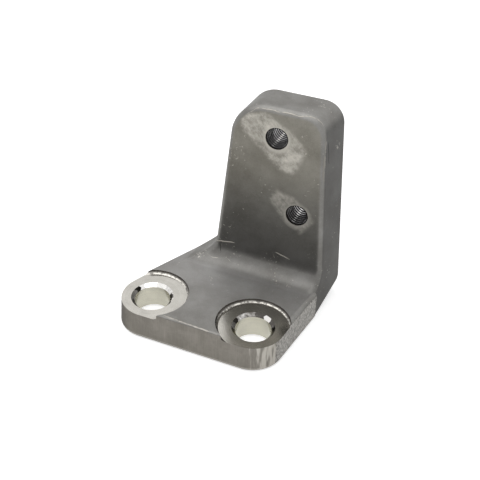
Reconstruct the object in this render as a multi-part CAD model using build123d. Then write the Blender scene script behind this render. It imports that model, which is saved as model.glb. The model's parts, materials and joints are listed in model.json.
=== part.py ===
from build123d import *
import math
import os

# Forged steel mounting bracket, one piece. Millimetres.
# Frame: origin midway between the two base bolt holes on the bottom mounting face,
# +X along the front edge towards the right-hand side, +Y back to the upright, +Z up.

# Base plate
bolt_spacing = 46.0            # between the two base bolt holes
bolt_hole_diameter = 15.0      # clearance hole for a 14 mm bolt
bolt_hole_chamfer = 1.4        # 45 degree chamfer at both ends of each bolt hole
spotface_diameter = 31.0       # bolt head and washer seat
spotface_height = 12.5         # seat above the bottom face
spotface_corner_radius = 1.2   # left by the cutter at the foot of the seat wall
front_edge_distance = 12.9     # hole line to the front face
front_height = 15.3            # top of the plate at the front face
top_fall_angle = 2.5           # the top falls towards the upright, degrees
front_left_radius = 13.1
front_right_radius = 13.5
left_edge_angle = 23.3         # the left edge runs inward towards the back, degrees
left_draft = 0.08              # run of the left wall, mm in per mm up
right_edge_distance = 13.0     # right bolt hole to the right wall, along the hole line
right_flare = 0.14             # the right wall runs outward, mm per mm back
trimmed_length = 29.0          # the trimmed right wall ends here, behind the hole line
trim_step = 3.0                # how far the wall then runs in, under the upright's side
heel_start = 30.0              # the flat mounting face ends here, behind the hole line
heel_angle = 15.0              # rise of the heel behind it, degrees
heel_start_radius = 20.0       # blend between the mounting face and the heel
heel_radius = 4.0              # between the heel and the back face

# Upright
upright_setback = 33.4         # hole line to the front face at the level of the bottom face
upright_thickness = 19.0       # measured level, front to back
upright_lean = 3.2             # leans back, degrees
upright_height = 90.4          # top edge at the front face
upright_left_x = -12.5         # left face at the front face and the level of the bottom
upright_width = 53.1           # between the side faces at the same place
upright_left_draft = 0.083     # mm per mm up
upright_right_draft = 0.080
side_sweep = 0.145             # both side faces run to the right, mm per mm back
top_left_radius = 16.5         # at the front face
top_left_back_radius = 11.0     # at the back face
top_right_radius = 9.0
root_radius = 8.5              # blend of the plate into the upright's front
side_root_radius = 12.0        # blend of the plate into the upright's left side
side_root_dip = 0.18           # how far that blend's foot lies under the plate's top

# Threaded holes in the upright: across from its left face foot, and below its top or up
upper_hole_across = 27.7
upper_hole_drop = 12.5         # below the upright's top edge
lower_hole_across = 38.7
lower_hole_height = 45.4
tapping_diameter = 8.5         # for a 10 mm coarse thread
tap_countersink = 0.45         # 45 degree countersink at both mouths

# Edge rounding
upright_edge_round = 3.0
right_edge_round = 2.0
left_edge_round = 1.2
back_edge_round = 1.5
bottom_edge_round = 1.2
front_edge_round = 0.8
root_ridge_round = 3.0         # where the two root blends meet

reach = 140.0                  # length of the prisms that the shapes are cut from
below = -reach / 4             # where they start, under the bottom face
cut_margin = 3.0               # how far an offcut reaches past the faces it trims

lean = math.tan(math.radians(upright_lean))
fall = math.tan(math.radians(top_fall_angle))
left_slope = math.tan(math.radians(left_edge_angle))
hole_x = bolt_spacing / 2


def plate_top(y):
    """Height of the plate's top at a distance y behind the hole line."""
    return front_height - fall * (y + front_edge_distance)


def upright_front(z):
    """y of the upright's front face at a height z."""
    return upright_setback + z * lean


def upright_left(y, z):
    """x of the upright's left face."""
    return upright_left_x + upright_left_draft * z + side_sweep * (y - upright_setback)


def upright_right(y, z):
    """x of the upright's right face."""
    foot = upright_left_x + upright_width
    return foot - upright_right_draft * z + side_sweep * (y - upright_setback)


def left_wall(y, z):
    """x of the plate's left wall."""
    off = front_left_radius / math.cos(math.radians(left_edge_angle))
    return -hole_x - left_draft * (spotface_height - z) - off + left_slope * y


def right_wall(y):
    """x of the plate's trimmed right wall."""
    return hole_x + right_edge_distance + right_flare * y


def nearest_vertex(shape, spot):
    """The vertex nearest to a point, as a list of one."""
    return shape.vertices().sort_by(lambda v: (v.center() - Vector(*spot)).length)[:1]


def nearest_edge(shape, spot):
    """The edge nearest to a point, as a list of one."""
    mark = Vertex(*spot)
    return shape.edges().sort_by(lambda e: e.distance_to(mark))[:1]


def left_rim(body):
    """The plate's top left edge behind the seat, and on up the side blend."""
    def on_rim(edge):
        ends = [edge @ 0, edge @ 1]
        clear = [p.Z - plate_top(p.Y) + 2 * side_root_dip for p in ends]
        off = [p.X - left_wall(p.Y, p.Z) for p in ends]
        return min(clear) > 0 and max(map(abs, off)) < side_root_dip
    return body.edges().filter_by(on_rim)


def root_corner():
    """Where the plate's top and the upright's front face would meet (y, z)."""
    z = (front_height - fall * (upright_setback + front_edge_distance)) / (1 + fall * lean)
    return upright_front(z), z


def heel_corner():
    """Where the heel and the back face would meet (y, z)."""
    rise = math.tan(math.radians(heel_angle))
    back = upright_setback + upright_thickness
    z = (back - heel_start) * rise / (1 - rise * lean)
    return back + z * lean, z


def side_profile():
    """Side view of plate and upright in one, running on above the top."""
    root = root_corner()
    heel = heel_corner()
    corners = [
        (-front_edge_distance, 0),
        (heel_start, 0),
        heel,
        (upright_front(reach) + upright_thickness, reach),
        (upright_front(reach), reach),
        root,
        (-front_edge_distance, front_height),
    ]
    face = make_face(Plane.YZ * Polyline(*corners, close=True))
    face = fillet(nearest_vertex(face, (0, *root)), root_radius)
    face = fillet(nearest_vertex(face, (0, *heel)), heel_radius)
    return fillet(nearest_vertex(face, (0, heel_start, 0)), heel_start_radius)


def along_x(face):
    """Prism of a side-view face, along X on both sides of the middle."""
    return Pos(-reach / 2, 0, 0) * extrude(face, amount=reach, dir=(1, 0, 0))


def along_sides(face, drop):
    """Prism of a front-view face drawn at the upright's foot, run along its side faces."""
    way = Vector(side_sweep, 1, -drop)
    start = -2 * upright_setback
    return extrude(Pos(*(way * start)) * face, amount=reach * 2, dir=way.normalized())


def blend_start():
    """y ahead of which the upright's own part of the plate isn't needed."""
    return root_corner()[0] - root_radius - upright_edge_round


def behind(y):
    """Everything behind a distance y."""
    return Pos(0, y + reach / 2, 0) * Box(3 * reach, reach, 3 * reach)


def upright_top(y):
    """Height of the upright's top, which is square to its front face."""
    return upright_height - lean * (y - upright_front(upright_height))


def front_outline():
    """Front view of the upright at its foot, with the rounded top right corner."""
    y = upright_setback
    top = upright_top(y)
    right_top = (upright_right(y, top), y, top)
    pts = [
        (upright_left(y, below), y, below),
        (upright_right(y, below), y, below),
        right_top,
        (upright_left(y, top), y, top),
    ]
    face = make_face(Polyline(*pts, close=True))
    return fillet(nearest_vertex(face, right_top), top_right_radius)


def top_left_offcut(y):
    """Section square to Y of what the rounded top left corner loses."""
    share = (y - upright_front(upright_height)) / upright_thickness
    radius = top_left_radius + share * (top_left_back_radius - top_left_radius)
    corner = Vector(upright_left(y, upright_top(y)), y, upright_top(y))
    down = Vector(-upright_left_draft, 0, -1).normalized()
    across = Vector(1, 0, 0)
    half = math.radians(down.get_angle(across) / 2)
    low = corner + down * (radius / math.tan(half))
    high = corner + across * (radius / math.tan(half))
    middle = corner + (down + across).normalized() * (radius / math.sin(half) - radius)
    outward = Vector(-1, 0, upright_left_draft).normalized() * cut_margin
    upward = Vector(0, 0, cut_margin)
    return make_face([
        ThreePointArc(low, middle, high),
        Polyline(high, high + upward, corner + outward + upward, low + outward, low),
    ])


def upright_body(profile):
    """The upright and the plate's part under it, with rounded front and back edges."""
    back = upright_front(upright_height) + upright_thickness + cut_margin
    ends = [top_left_offcut(upright_front(upright_height / 2)), top_left_offcut(back)]
    body = along_x(profile) & along_sides(front_outline(), lean) & behind(blend_start())
    body -= loft(ends, ruled=True)
    z = upright_height / 2
    for y, radius in (
        (upright_front(z), upright_edge_round),
        (upright_front(z) + upright_thickness, back_edge_round),
    ):
        right = nearest_edge(body, (upright_right(y, z), y, z))
        left = nearest_edge(body, (upright_left(y, z), y, z))
        body = fillet(right + left, radius)
    return body


def plan_prism(points, corner, radius, lean_x):
    """Prism of a plan outline with one rounded corner, from under the bottom face up."""
    face = fillet(nearest_vertex(make_face(Polyline(*points, close=True)), corner), radius)
    way = Vector(lean_x, 0, 1)
    return extrude(Pos(*(way * below)) * face, amount=reach, dir=way.normalized())


def left_prism():
    """Everything right of the plate's left wall, with the front left corner."""
    y0 = -front_edge_distance
    corner = (left_wall(y0, 0), y0, 0)
    pts = [corner, (reach, y0, 0), (reach, reach, 0), (left_wall(reach, 0), reach, 0)]
    return plan_prism(pts, corner, front_left_radius, left_draft)


def right_prism():
    """Everything left of the plate's right wall, with the front right corner."""
    y0 = -front_edge_distance
    end = right_wall(trimmed_length)
    corner = (right_wall(y0), y0, 0)
    pts = [
        corner,
        (end, trimmed_length, 0),
        (end - trim_step, trimmed_length + 2 * trim_step, 0),
        (end - trim_step, reach, 0),
        (-reach, reach, 0),
        (-reach, y0, 0),
    ]
    return plan_prism(pts, corner, front_right_radius, 0)


def spotface_cutter(x):
    """The cut of one washer seat, rounded at the foot of its wall."""
    height = 2 * front_height
    cut = Pos(x, 0, spotface_height + height / 2) * Cylinder(spotface_diameter / 2, height)
    return fillet(cut.edges().sort_by(Axis.Z)[:1], spotface_corner_radius)


def spotface_well(x):
    """The room of one washer seat, run on down to half the seat's height."""
    height = 2 * front_height
    return Pos(x, 0, (spotface_height + height) / 2) * Cylinder(spotface_diameter / 2, height)


def bolt_hole_cutter(x):
    """Through hole with a chamfer at each end."""
    r = bolt_hole_diameter / 2
    c = bolt_hole_chamfer
    cut = Pos(x, 0, spotface_height / 2) * Cylinder(r, 3 * spotface_height)
    cut += Pos(x, 0, spotface_height - c / 2) * Cone(r, r + c, c)
    cut += Pos(x, 0, c / 2) * Cone(r + c, r, c)
    return cut


def side_blend():
    """Front view of the blend beside the upright's left face."""
    y = upright_setback
    foot = plate_top(y) - side_root_dip
    r = side_root_radius
    slant = math.atan(upright_left_draft)
    centre_z = foot + r
    centre_x = upright_left(y, centre_z) - r / math.cos(slant)
    touch = (centre_x + r * math.cos(slant), y, centre_z - r * math.sin(slant))
    low = (centre_x, y, foot)
    middle = (centre_x + r * math.sin(math.pi / 4), y, centre_z - r * math.cos(math.pi / 4))
    right = touch[0] + 2 * upright_edge_round
    return make_face([
        ThreePointArc(low, middle, touch),
        Line(touch, (right, y, touch[2] - 2 * upright_edge_round)),
        Line((right, y, touch[2] - 2 * upright_edge_round), (right, y, 0)),
        Line((right, y, 0), (centre_x, y, 0)),
        Line((centre_x, y, 0), low),
    ])


def root_ridge_spot():
    """A point by the ridge between the front blend and the side blend."""
    x = upright_left_x - side_root_radius / 3
    y = upright_setback - root_radius / 3
    return x, y, plate_top(y) + root_radius / 4


def plate_body(profile):
    """The plate with its seats, and the blend that climbs the upright's left side."""
    back = upright_front(0) + upright_thickness + reach
    ahead = -front_edge_distance - cut_margin
    under = make_face(Plane.YZ * Polyline(
        (ahead, below),
        (back, below),
        (back, plate_top(back)),
        (ahead, plate_top(ahead)),
        close=True,
    ))
    body = along_x(profile & under) & left_prism() & right_prism()
    climb = along_x(profile) & along_sides(side_blend(), fall) & left_prism()
    body += climb & behind(blend_start())
    body = fillet(nearest_edge(body, root_ridge_spot()), root_ridge_round)
    wells = spotface_well(-hole_x) + spotface_well(hole_x)
    seats = spotface_cutter(-hole_x) + spotface_cutter(hole_x)
    body = round_plate(body - wells) + (body & wells) - seats
    return fillet(nearest_edge(body, (0, -front_edge_distance, 0)), bottom_edge_round)


def round_plate(body):
    """Rounded top edges of the plate: right, front and left."""
    y = (spotface_diameter / 2 + trimmed_length) / 2
    end = right_wall(trimmed_length)
    step_y = trimmed_length + trim_step
    far_y = upright_setback + upright_thickness / 2
    right = nearest_edge(body, (right_wall(y), y, plate_top(y)))
    right += nearest_edge(body, (end - trim_step / 2, step_y, plate_top(step_y)))
    right += nearest_edge(body, (end - trim_step, far_y, plate_top(far_y)))
    body = fillet(right, right_edge_round)
    front = nearest_edge(body, (0, -front_edge_distance, front_height))
    body = fillet(front, front_edge_round)
    return fillet(left_rim(body), left_edge_round)


def threaded_hole_cutter(across, height):
    """Tapping hole square to the upright's front face, countersunk at both mouths."""
    angle = math.radians(upright_lean)
    outward = Vector(0, -math.cos(angle), math.sin(angle))
    depth = upright_thickness * math.cos(angle)
    r = tapping_diameter / 2
    sink = tap_countersink
    mouth = r + sink
    front = Vector(upright_left_x + across, upright_front(height), height)
    cut = Plane(front - outward * (depth / 2), z_dir=outward) * Cylinder(r, 2 * depth)
    cut += Plane(front - outward * (sink / 2), z_dir=outward) * Cone(r, mouth, sink)
    cut += Plane(front - outward * (depth - sink / 2), z_dir=outward) * Cone(mouth, r, sink)
    return cut


def make_bracket():
    """The finished bracket."""
    profile = side_profile()
    body = plate_body(profile) + upright_body(profile)
    for x in (-hole_x, hole_x):
        body -= bolt_hole_cutter(x)
    body -= threaded_hole_cutter(upper_hole_across, upright_height - upper_hole_drop)
    body -= threaded_hole_cutter(lower_hole_across, lower_hole_height)
    return body


os.makedirs("parts", exist_ok=True)
bracket = make_bracket()
bracket.label = "bracket"
export_step(bracket, "parts/bracket.step")
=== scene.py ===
import json
import logging
import math
from dataclasses import dataclass
from enum import IntEnum
from functools import cached_property

import bmesh
import bpy
import numpy as np
from bpy.types import Material, Mesh, Node, NodeSocket, Object, bpy_prop_collection
from mathutils import Matrix


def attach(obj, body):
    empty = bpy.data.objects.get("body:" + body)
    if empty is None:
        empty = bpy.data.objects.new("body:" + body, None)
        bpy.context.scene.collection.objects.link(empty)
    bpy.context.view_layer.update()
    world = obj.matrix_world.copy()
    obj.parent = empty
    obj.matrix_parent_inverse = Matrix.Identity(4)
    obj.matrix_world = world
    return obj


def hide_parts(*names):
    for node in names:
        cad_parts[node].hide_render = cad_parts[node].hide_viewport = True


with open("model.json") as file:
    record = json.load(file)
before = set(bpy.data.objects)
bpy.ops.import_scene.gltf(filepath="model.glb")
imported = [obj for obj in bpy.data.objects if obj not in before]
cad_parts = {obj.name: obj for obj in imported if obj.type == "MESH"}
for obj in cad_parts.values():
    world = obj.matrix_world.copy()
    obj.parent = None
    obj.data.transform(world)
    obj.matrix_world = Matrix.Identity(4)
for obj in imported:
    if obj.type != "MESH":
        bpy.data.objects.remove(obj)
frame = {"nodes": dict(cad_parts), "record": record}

# Looks of a forged steel compressor mounting bracket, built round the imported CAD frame.
# Metres. +X runs along the front edge, +Y back to the upright, +Z up.

logging.basicConfig(level=logging.INFO, format="%(message)s")
log = logging.getLogger("bracket")

MM = 0.001
SEED = 11
BODY = "root"
NODE = "bracket"
THREADS = ("upper_thread", "lower_thread")
POLISH = "polish"
# A face looks along an axis where its normal's share along it is above this: within 6 degrees.
FLAT = 0.995
# Slack for points that lie on a size's own border.
CLOSE = 0.05 * MM
# Noise shifts the points under a rubbed patch by 0 to this, so the patch is shifted by half of it.
RAGGED = 3.2 * MM
# Large odd numbers, which set apart the noise's cubes along the three axes.
STRIDES = np.array([73856093, 19349663, 83492791])


class Zone(IntEnum):
    """The kinds of surface on the bracket, in the order of the material slots."""

    SKIN = 0
    GROUND = 1
    SHEARED = 2
    SEAT = 3
    SEAT_WALL = 4
    BORE = 5
    CHAMFER = 6
    THREAD = 7
    BASE = 8


@dataclass(frozen=True)
class Sizes:
    """Driving sizes of the bracket, as the CAD model has them.

    Lengths are in metres, the upright's lean in radians, and the top's fall and the right wall's
    flare are slopes.
    """

    bore_radius: float = 7.5 * MM
    bore_chamfer: float = 1.4 * MM
    seat_radius: float = 15.5 * MM
    seat_height: float = 12.5 * MM
    front_edge: float = 12.9 * MM
    front_height: float = 15.3 * MM
    top_fall: float = math.tan(math.radians(2.5))
    right_edge: float = 13.0 * MM
    right_flare: float = 0.14
    trimmed_end: float = 29.0 * MM
    upright_lean: float = math.radians(3.2)
    upright_wall: float = 19.0 * MM
    tapping_radius: float = 4.25 * MM
    thread_radius: float = 5.0 * MM
    thread_pitch: float = 1.5 * MM

    def plate_top(self, y: np.ndarray) -> np.ndarray:
        """Height of the plate's falling top at a distance y behind the hole line."""
        return self.front_height - self.top_fall * (y + self.front_edge)


SIZES = Sizes()


def mount(name: str) -> dict:
    """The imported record's mount of that name."""
    return next(m for m in frame["record"]["mounts"] if m["name"] == name)


BOLT_X = mount("base_bolts")["dims"]["spacing_x_mm"] / 2 * MM


def smooth(t: np.ndarray) -> np.ndarray:
    """Soft step: 0 below 0, 1 above 1, and 3t^2 - 2t^3 between."""
    t = np.clip(t, 0, 1)
    return t * t * (3 - 2 * t)


def lattice_noise(points: np.ndarray, size: float, seed: int) -> np.ndarray:
    """Smooth random values, from -1 to 1.

    Space is cut into cubes of side size. Each corner of a cube has a hashed value, and a point
    takes the eight round it, mixed by 3t^2 - 2t^3 along each axis.

    Args:
        points: places, one row each.
        size: side of the cubes.
        seed: number that sets the values.

    Returns:
        One value for each point.
    """
    cell = points / size
    low = np.floor(cell).astype(np.int64)
    share = smooth(cell - low)
    total = np.zeros(len(points))
    for corner in np.ndindex(2, 2, 2):
        key = (low + corner) @ STRIDES + seed * 2654435
        key = (key ^ (key >> 13)) * 1274126177 & 0x7FFFFFFF
        key = key ^ (key >> 15)
        value = (key & 0xFFFF) / 32767.5 - 1
        total += value * np.prod(np.where(corner, share, 1 - share), axis=1)
    return total


def layered_noise(points: np.ndarray, size: float, layers: int, seed: int) -> np.ndarray:
    """Lattice noise summed over layers, each half the size and half the strength of the last."""
    parts = [lattice_noise(points, size / 2**n, seed + n) / 2**n for n in range(layers)]
    return np.sum(parts, axis=0) / (2 - 0.5 ** (layers - 1))


def read(items: bpy_prop_collection, name: str) -> np.ndarray:
    """A property of three numbers of each item, one row each."""
    found = np.empty(len(items) * 3, np.float32)
    items.foreach_get(name, found)
    return found.reshape(-1, 3)


def new_object(name: str, mesh: Mesh) -> Object:
    """Puts a mesh into the scene as an object at the origin."""
    made = bpy.data.objects.new(name, mesh)
    bpy.context.scene.collection.objects.link(made)
    return made


def mesh_from(name: str, vertices: np.ndarray, faces: list) -> Mesh:
    """A mesh whose faces all point outwards.

    Args:
        name: the mesh's name.
        vertices: places, one row each.
        faces: arrays of vertex numbers, one row a face.

    Returns:
        The new mesh.
    """
    made = bpy.data.meshes.new(name)
    made.from_pydata(vertices.tolist(), [], [f for rows in faces for f in rows.tolist()])
    work = bmesh.new()
    work.from_mesh(made)
    bmesh.ops.recalc_face_normals(work, faces=work.faces)
    work.to_mesh(made)
    work.free()
    return made


@dataclass(frozen=True)
class ThreadTap:
    """The shape that a tap cuts: a helical ridge of 60 degree V section on a thin core."""

    centre: tuple
    axis: tuple
    wall: float
    pitch: float = SIZES.thread_pitch
    major_radius: float = SIZES.thread_radius
    core_radius: float = SIZES.tapping_radius - 0.12 * MM
    steps: int = 90
    spare_turns: int = 2

    def build(self, name: str) -> Object:
        """Makes the tap as one closed solid.

        The section is a row of points along the axis, four to a pitch, with a crest an eighth of
        the pitch wide. Each is carried round the axis in a right-handed helix: its height rises by
        one pitch over one turn, so the last column meets the first one four rows up.

        Args:
            name: the object's name.

        Returns:
            The tap, in its place in the wall.
        """
        crest = self.pitch / 16
        flank = crest + (self.major_radius - self.core_radius) * math.tan(math.radians(30))
        section = np.array([
            (-flank, self.core_radius),
            (-crest, self.major_radius),
            (crest, self.major_radius),
            (flank, self.core_radius),
        ])
        turns = math.ceil(self.wall / self.pitch) + 2 * self.spare_turns
        along = (np.arange(turns)[:, None] * self.pitch + section[None, :, 0]).ravel()
        radius = np.tile(section[:, 1], turns)
        share = np.arange(self.steps) / self.steps
        height = along[:, None] + self.pitch * share[None, :]
        angle = np.broadcast_to(2 * np.pi * share, height.shape)
        height = height - height.mean()
        local = np.stack([radius[:, None] * np.cos(angle), radius[:, None] * np.sin(angle), height], -1)
        rows = len(along)
        ends = np.array([[0, 0, height.min() - self.pitch], [0, 0, height.max() + self.pitch]])
        local = np.vstack([local.reshape(-1, 3), ends])
        vertices = local @ self.turned().T + np.array(self.centre)
        return new_object(name, mesh_from(name, vertices, self.faces(rows, rows * self.steps)))

    def turned(self) -> np.ndarray:
        """Right-handed frame whose third column is the axis."""
        third = np.array(self.axis)
        first = np.cross(third, (1.0, 0, 0))
        first /= np.linalg.norm(first)
        return np.stack([first, np.cross(third, first), third], 1)

    def faces(self, rows: int, low_end: int) -> list:
        """Vertex numbers of the helical skin and of the fans that close its two ends.

        Args:
            rows: number of points in the section.
            low_end: number of the centre vertex at the low end; the high one follows it.

        Returns:
            Arrays of four and of three vertex numbers.
        """
        last = self.steps - 1
        number = np.arange(rows * self.steps).reshape(rows, self.steps)
        skin = np.stack([number[:-1, :-1], number[:-1, 1:], number[1:, 1:], number[1:, :-1]], -1)
        seam = np.stack([number[:-5, last], number[4:-1, 0], number[5:, 0], number[1:-4, last]], -1)
        low = np.concatenate([number[0], number[4::-1, 0]])
        high = np.concatenate([number[-1], number[-2:-6:-1, last], number[-1:, 0]])
        fans = [
            np.stack([loop[:-1], loop[1:], np.full(len(loop) - 1, low_end + n)], -1)
            for n, loop in enumerate((low, high))
        ]
        return [skin.reshape(-1, 4), seam, *fans]


@dataclass
class ForgedBody:
    """The bracket itself: the CAD solid with cut threads and the marks that its making left."""

    name: str = "forged_body"
    sheared_step: float = 0.6 * MM
    sheared_relief: float = 0.16 * MM
    sharp_angle: float = math.radians(30)
    passes: int = 7
    groove_size: float = 1.8 * MM
    groove_squeeze: float = 0.35
    plate_limit: float = 18 * MM
    steep: float = 0.35
    flats: int = 15
    flat_turn: float = math.radians(9)
    flat_lean: float = math.radians(9)
    kept_normals: str = "cad_normal"

    def build(self, finishes: dict) -> Object:
        """Makes the finished piece.

        Args:
            finishes: the material of each zone.

        Returns:
            The piece, riding on its body and standing for the CAD node.
        """
        body = new_object(self.name, self.merged_copy())
        self.cut_threads(body)
        self.refine(body.data)
        self.give_relief(body.data)
        for zone in Zone:
            body.data.materials.append(finishes[zone])
        zones = self.zones(body.data)
        body.data.polygons.foreach_set("material_index", zones)
        self.shade(body.data, zones)
        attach(body, BODY)
        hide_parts(NODE)
        log.info("%s: %d faces, zones %s", self.name, len(zones), np.bincount(zones).tolist())
        return body

    def merged_copy(self) -> Mesh:
        """A copy of the CAD node's mesh, its loose triangles joined and its normals kept aside."""
        made = frame["nodes"][NODE].data.copy()
        made.name = self.name
        normals = read(made.corner_normals, "vector")
        kept = made.attributes.new(self.kept_normals, "FLOAT_VECTOR", "CORNER")
        kept.data.foreach_set("vector", normals.ravel())
        made.attributes.remove(made.attributes["custom_normal"])
        made.materials.clear()
        work = bmesh.new()
        work.from_mesh(made)
        bmesh.ops.remove_doubles(work, verts=work.verts, dist=MM / 1000)
        work.to_mesh(made)
        work.free()
        return made

    def cut_threads(self, body: Object) -> None:
        """Cuts the two threads with solid taps, and removes the taps."""
        wall = SIZES.upright_wall * math.cos(SIZES.upright_lean)
        for name in THREADS:
            hole = mount(name)
            tap = ThreadTap(tuple(hole["pos_m"]), tuple(hole["axis"]), wall).build(name)
            cut = body.modifiers.new(name, "BOOLEAN")
            cut.object = tap
            cut.operation = "DIFFERENCE"
            cut.solver = "EXACT"
            bpy.context.view_layer.update()
            graph = bpy.context.evaluated_depsgraph_get()
            threaded = bpy.data.meshes.new_from_object(body.evaluated_get(graph))
            body.modifiers.clear()
            body.data = threaded
            bpy.data.objects.remove(tap)
            log.info("%s: cut, %d faces", name, len(threaded.polygons))

    def refine(self, mesh: Mesh) -> None:
        """Halves the sheared wall's edges, pass by pass, so that its relief has points to stand on."""
        work = bmesh.new()
        work.from_mesh(mesh)
        for _ in range(self.passes):
            ends = np.array([[v.co[:] for v in e.verts] for e in work.edges])
            length = np.linalg.norm(ends[:, 1] - ends[:, 0], axis=1)
            rough = self.sheared_share(ends).max(axis=1) > 0
            long = np.flatnonzero(rough & (length > self.sheared_step))
            if not len(long):
                break
            work.edges.ensure_lookup_table()
            bmesh.ops.subdivide_edges(work, edges=[work.edges[n] for n in long], cuts=1)
            bmesh.ops.triangulate(work, faces=[f for f in work.faces if len(f.verts) > 3])
        work.to_mesh(mesh)
        work.free()

    def sheared_share(self, p: np.ndarray) -> np.ndarray:
        """1 on the trimmed right wall, fading to 0 over 1 to 3 mm at its edges and 0.35 mm off it."""
        x, y, z = np.moveaxis(p, -1, 0)
        wall = BOLT_X + SIZES.right_edge + SIZES.right_flare * y
        near = 1 - smooth((np.abs(x - wall) - CLOSE) / (0.3 * MM))
        along = smooth((y - 1 * MM) / (3 * MM)) * smooth((SIZES.trimmed_end - y) / MM)
        room = np.minimum(z, SIZES.plate_top(y) - z)
        return near * along * smooth(room / (2.5 * MM))

    def off_axis(self, p: np.ndarray, hole: dict) -> np.ndarray:
        """Distance of points from a threaded hole's axis."""
        arm = p - np.array(hole["pos_m"])
        axis = np.array(hole["axis"])
        return np.linalg.norm(arm - np.outer(arm @ axis, axis), axis=1)

    def give_relief(self, mesh: Mesh) -> None:
        """Sinks the sheared wall by short upright grooves.

        Layered noise, drawn out upwards, pushes it inwards by between 0 and its depth.
        """
        place = read(mesh.vertices, "co").astype(float)
        tall = place * np.array([1, 1, self.groove_squeeze])
        grooves = 0.5 + 0.5 * layered_noise(tall, self.groove_size, 3, SEED)
        place[:, 0] -= self.sheared_relief * grooves * self.sheared_share(place)
        mesh.vertices.foreach_set("co", place.astype(np.float32).ravel())
        mesh.update()

    def shade(self, mesh: Mesh, zones: np.ndarray) -> None:
        """Gives the faces the CAD's own normals, apart from the threads and the sheared wall."""
        mesh.polygons.foreach_set("use_smooth", np.ones(len(zones), bool))
        mesh.set_sharp_from_angle(angle=self.sharp_angle)
        normals = read(mesh.attributes[self.kept_normals].data, "vector")
        sides = np.empty(len(zones), np.int32)
        mesh.polygons.foreach_get("loop_total", sides)
        own = np.repeat(np.isin(zones, (Zone.THREAD, Zone.SHEARED)), sides)
        normals[own] = 0
        centre = read(mesh.polygons, "center").astype(float)
        cut = (zones == Zone.CHAMFER) & (centre[:, 2] > SIZES.seat_height / 2)
        facing, polish = self.chamfer_flats(centre[cut])
        normals[np.repeat(cut, sides)] = np.repeat(facing, sides[cut], axis=0)
        tone = np.full(len(zones), 0.5, np.float32)
        tone[cut] = polish
        mesh.attributes.new(POLISH, "FLOAT", "FACE").data.foreach_set("value", tone)
        mesh.attributes.remove(mesh.attributes[self.kept_normals])
        mesh.normals_split_custom_set(normals.tolist())

    def chamfer_flats(self, p: np.ndarray) -> tuple:
        """Flats that a chattering countersink leaves on the chamfer of a bolt hole.

        The ring is shared out among flats of uneven width. All of a flat looks one way: 45 degrees
        up and towards the hole's axis, turned a little by a random amount of its own, and it is
        polished by a random amount too.

        Args:
            p: centres of the chamfer's faces, one row each.

        Returns:
            The direction and the polish of each face.
        """
        random = np.random.default_rng(SEED)
        widths = random.uniform(0.5, 1.5, (2, self.flats))
        share = widths / widths.sum(axis=1, keepdims=True) * 2 * np.pi
        borders = np.cumsum(share, axis=1)
        turn = borders - share / 2 + random.normal(0, self.flat_turn, share.shape)
        lean = math.radians(45) + random.normal(0, self.flat_lean, share.shape)
        polish = random.uniform(0, 1, share.shape)
        right = (p[:, 0] > 0).astype(int)
        angle = np.arctan2(p[:, 1], p[:, 0] - np.where(right, BOLT_X, -BOLT_X)) % (2 * np.pi)
        flat = (angle[:, None] > borders[right]).sum(axis=1).clip(0, self.flats - 1)
        turn = turn[right, flat]
        lean = lean[right, flat]
        facing = np.stack([-np.cos(turn) * np.sin(lean), -np.sin(turn) * np.sin(lean), np.cos(lean)], -1)
        return facing, polish[right, flat]

    def zones(self, mesh: Mesh) -> np.ndarray:
        """The zone of each face, told from its centre and normal.

        The plate's walls are ground where they face forwards or to the right, and sheared where
        they lie on the trimmed right wall. A bolt hole's seat, wall, chamfer and bore are told by
        the distance from its axis, and a threaded hole's thread by that and by not facing along it.

        Args:
            mesh: the piece's mesh.

        Returns:
            A number of Zone for each face.
        """
        p = read(mesh.polygons, "center").astype(float)
        n = read(mesh.polygons, "normal").astype(float)
        across = np.hypot(np.abs(p[:, 0]) - BOLT_X, p[:, 1])
        low = p[:, 2] < self.plate_limit
        top = SIZES.plate_top(p[:, 1])
        upright = np.abs(n[:, 2]) < self.steep
        found = np.full(len(p), int(Zone.SKIN))
        wall = low & upright & (p[:, 1] < SIZES.trimmed_end) & (p[:, 2] < top)
        found[wall & ((n[:, 1] < -0.08) | (n[:, 0] > 0.2))] = Zone.GROUND
        right = BOLT_X + SIZES.right_edge + SIZES.right_flare * p[:, 1]
        sheared = wall & (n[:, 0] > 0.8) & (np.abs(p[:, 0] - right) < 0.4 * MM)
        found[sheared] = Zone.SHEARED
        seat = low & (across < SIZES.seat_radius + CLOSE) & (p[:, 2] > SIZES.seat_height - CLOSE)
        found[seat] = Zone.SEAT_WALL
        found[seat & (n[:, 2] > FLAT)] = Zone.SEAT
        opening = SIZES.bore_radius + SIZES.bore_chamfer + CLOSE
        found[low & (across < opening) & (p[:, 2] < SIZES.seat_height + CLOSE)] = Zone.CHAMFER
        found[low & (across < opening) & (n[:, 2] > FLAT)] = Zone.SEAT
        found[low & (across < SIZES.bore_radius + CLOSE)] = Zone.BORE
        found[(p[:, 2] < CLOSE) & (n[:, 2] < -FLAT)] = Zone.BASE
        for name in THREADS:
            hole = mount(name)
            inside = self.off_axis(p, hole) < SIZES.thread_radius + CLOSE
            faces_out = np.abs(n @ np.array(hole["axis"])) > FLAT
            found[inside & ~faces_out] = Zone.THREAD
        return found


def linear(code: str) -> tuple:
    """An sRGB hex colour as linear red, green, blue and alpha."""
    parts = [int(code[n : n + 2], 16) / 255 for n in (1, 3, 5)]
    return *[c / 12.92 if c < 0.04045 else ((c + 0.055) / 1.055) ** 2.4 for c in parts], 1.0


COLOUR = {"data_type": "RGBA"}
SOFT = {"interpolation_type": "SMOOTHSTEP"}


def live(source: Node) -> NodeSocket:
    """The first output of a node that is in use."""
    return next(s for s in source.outputs if s.enabled)


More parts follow.
